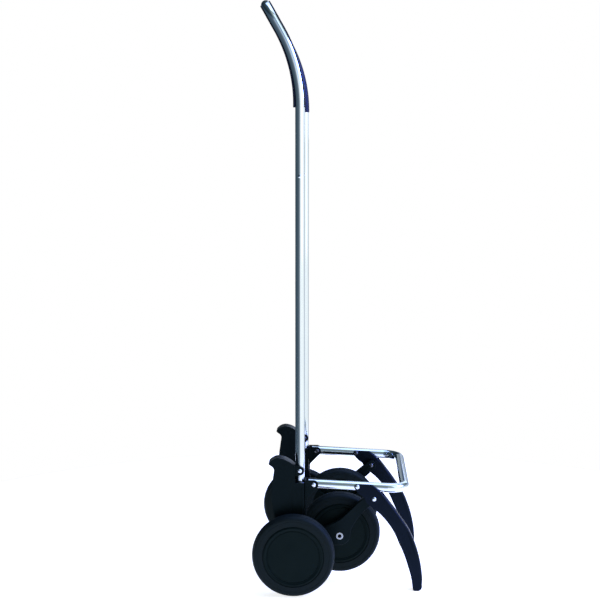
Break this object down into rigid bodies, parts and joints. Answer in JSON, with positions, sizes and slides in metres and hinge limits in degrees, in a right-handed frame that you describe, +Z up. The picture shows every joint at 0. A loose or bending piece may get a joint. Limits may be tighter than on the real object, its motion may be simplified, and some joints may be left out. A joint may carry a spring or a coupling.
{
  "type": "folding shopping trolley frame",
  "caption": "Folding shopping trolley frame with a bent chrome handle, moulded grip and side housings, a hinged tray frame with curved legs, and wheels on through axles.",
  "frame": {"origin": "centre of the bounding box at floor level", "axes": "+X towards the front legs, +Y to the trolley's left, +Z up"},
  "size_m": [0.2897, 0.392, 1],
  "materials": {
    "chrome_tube": "polished chrome plate",
    "black_plastic": "black moulded plastic, fine grain",
    "wheel_plastic": "black moulded plastic, satin",
    "spacer_plastic": "black moulded plastic",
    "grip": "soft black grip, fine grain",
    "tyre": "black rubber",
    "rivet": "bright steel",
    "axle_steel": "zinc plated steel"
  },
  "bodies": {
    "frame": {"handle_bow": "chrome_tube", "handle_grip": "grip", "rear_axle": "axle_steel", "rear_distance_tube": "spacer_plastic", "handle_plug_right": "chrome_tube", "handle_plug_left": "chrome_tube", "upright_right": "chrome_tube", "upright_left": "chrome_tube", "bow_rivet_right": "rivet", "bow_rivet_left": "rivet", "clip_rivet_right": "rivet", "clip_rivet_left": "rivet", "tray_rivet_right": "rivet", "tray_rivet_left": "rivet", "housing_right": "black_plastic", "housing_left": "black_plastic", "bracket_right": "black_plastic", "bracket_left": "black_plastic", "rear_spacer_right": "spacer_plastic", "rear_spacer_left": "spacer_plastic", "rear_nut_right": "axle_steel", "rear_nut_left": "axle_steel"},
    "tray": {"tray_frame": "chrome_tube", "tray_plug_right": "spacer_plastic", "tray_plug_left": "spacer_plastic"},
    "leg_right": {"leg_right": "black_plastic", "leg_rivet_right": "rivet", "link_rivet_right": "rivet"},
    "leg_left": {"leg_left": "black_plastic", "leg_rivet_left": "rivet", "link_rivet_left": "rivet"},
    "wheel_carrier": {"front_axle": "axle_steel", "front_distance_tube": "spacer_plastic", "arm_right": "black_plastic", "arm_left": "black_plastic", "arm_rivet_right": "rivet", "arm_rivet_left": "rivet", "front_spacer_right": "spacer_plastic", "front_spacer_left": "spacer_plastic"},
    "rear_wheel_right": {"rear_tyre_right": "tyre", "rear_rim_right": "wheel_plastic", "rear_bush_right": "wheel_plastic", "rear_disc_right": "wheel_plastic"},
    "rear_wheel_left": {"rear_tyre_left": "tyre", "rear_rim_left": "wheel_plastic", "rear_bush_left": "wheel_plastic", "rear_disc_left": "wheel_plastic"},
    "front_wheel_right": {"front_tyre_right": "tyre", "front_rim_right": "wheel_plastic", "front_bush_right": "wheel_plastic", "front_disc_right": "wheel_plastic"},
    "front_wheel_left": {"front_tyre_left": "tyre", "front_rim_left": "wheel_plastic", "front_bush_left": "wheel_plastic", "front_disc_left": "wheel_plastic"}
  },
  "joints": [
    {"name": "tray_fold", "type": "hinge", "parent": "frame", "child": "tray", "pos_m": [-0.041, 0, 0.1835], "axis": [0, -1, 0], "range_deg": [0, 90]},
    {"name": "leg_right_fold", "type": "hinge", "parent": "tray", "child": "leg_right", "pos_m": [0.0335, -0.14, 0.1805], "axis": [0, -1, 0], "range_deg": [-121, 0]},
    {"name": "leg_left_fold", "type": "hinge", "parent": "tray", "child": "leg_left", "pos_m": [0.0335, 0.14, 0.1805], "axis": [0, -1, 0], "range_deg": [-121, 0]},
    {"name": "wheel_carrier_fold", "type": "hinge", "parent": "frame", "child": "wheel_carrier", "pos_m": [-0.0745, 0, 0.07], "axis": [0, -1, 0], "range_deg": [0, 38.9]},
    {"name": "rear_wheel_right_spin", "type": "hinge", "parent": "frame", "child": "rear_wheel_right", "pos_m": [-0.0745, -0.181, 0.07], "axis": [0, 1, 0], "continuous": true},
    {"name": "rear_wheel_left_spin", "type": "hinge", "parent": "frame", "child": "rear_wheel_left", "pos_m": [-0.0745, 0.181, 0.07], "axis": [0, 1, 0], "continuous": true},
    {"name": "front_wheel_right_spin", "type": "hinge", "parent": "wheel_carrier", "child": "front_wheel_right", "pos_m": [0.0035, -0.096, 0.089], "axis": [0, 1, 0], "continuous": true},
    {"name": "front_wheel_left_spin", "type": "hinge", "parent": "wheel_carrier", "child": "front_wheel_left", "pos_m": [0.0035, 0.096, 0.089], "axis": [0, 1, 0], "continuous": true}
  ],
  "couplings": [
    {"joint": "leg_right_fold", "follows": "tray_fold", "ratio": -1.3439},
    {"joint": "leg_left_fold", "follows": "tray_fold", "ratio": -1.3439},
    {"joint": "wheel_carrier_fold", "follows": "tray_fold", "ratio": 0.4318}
  ]
}
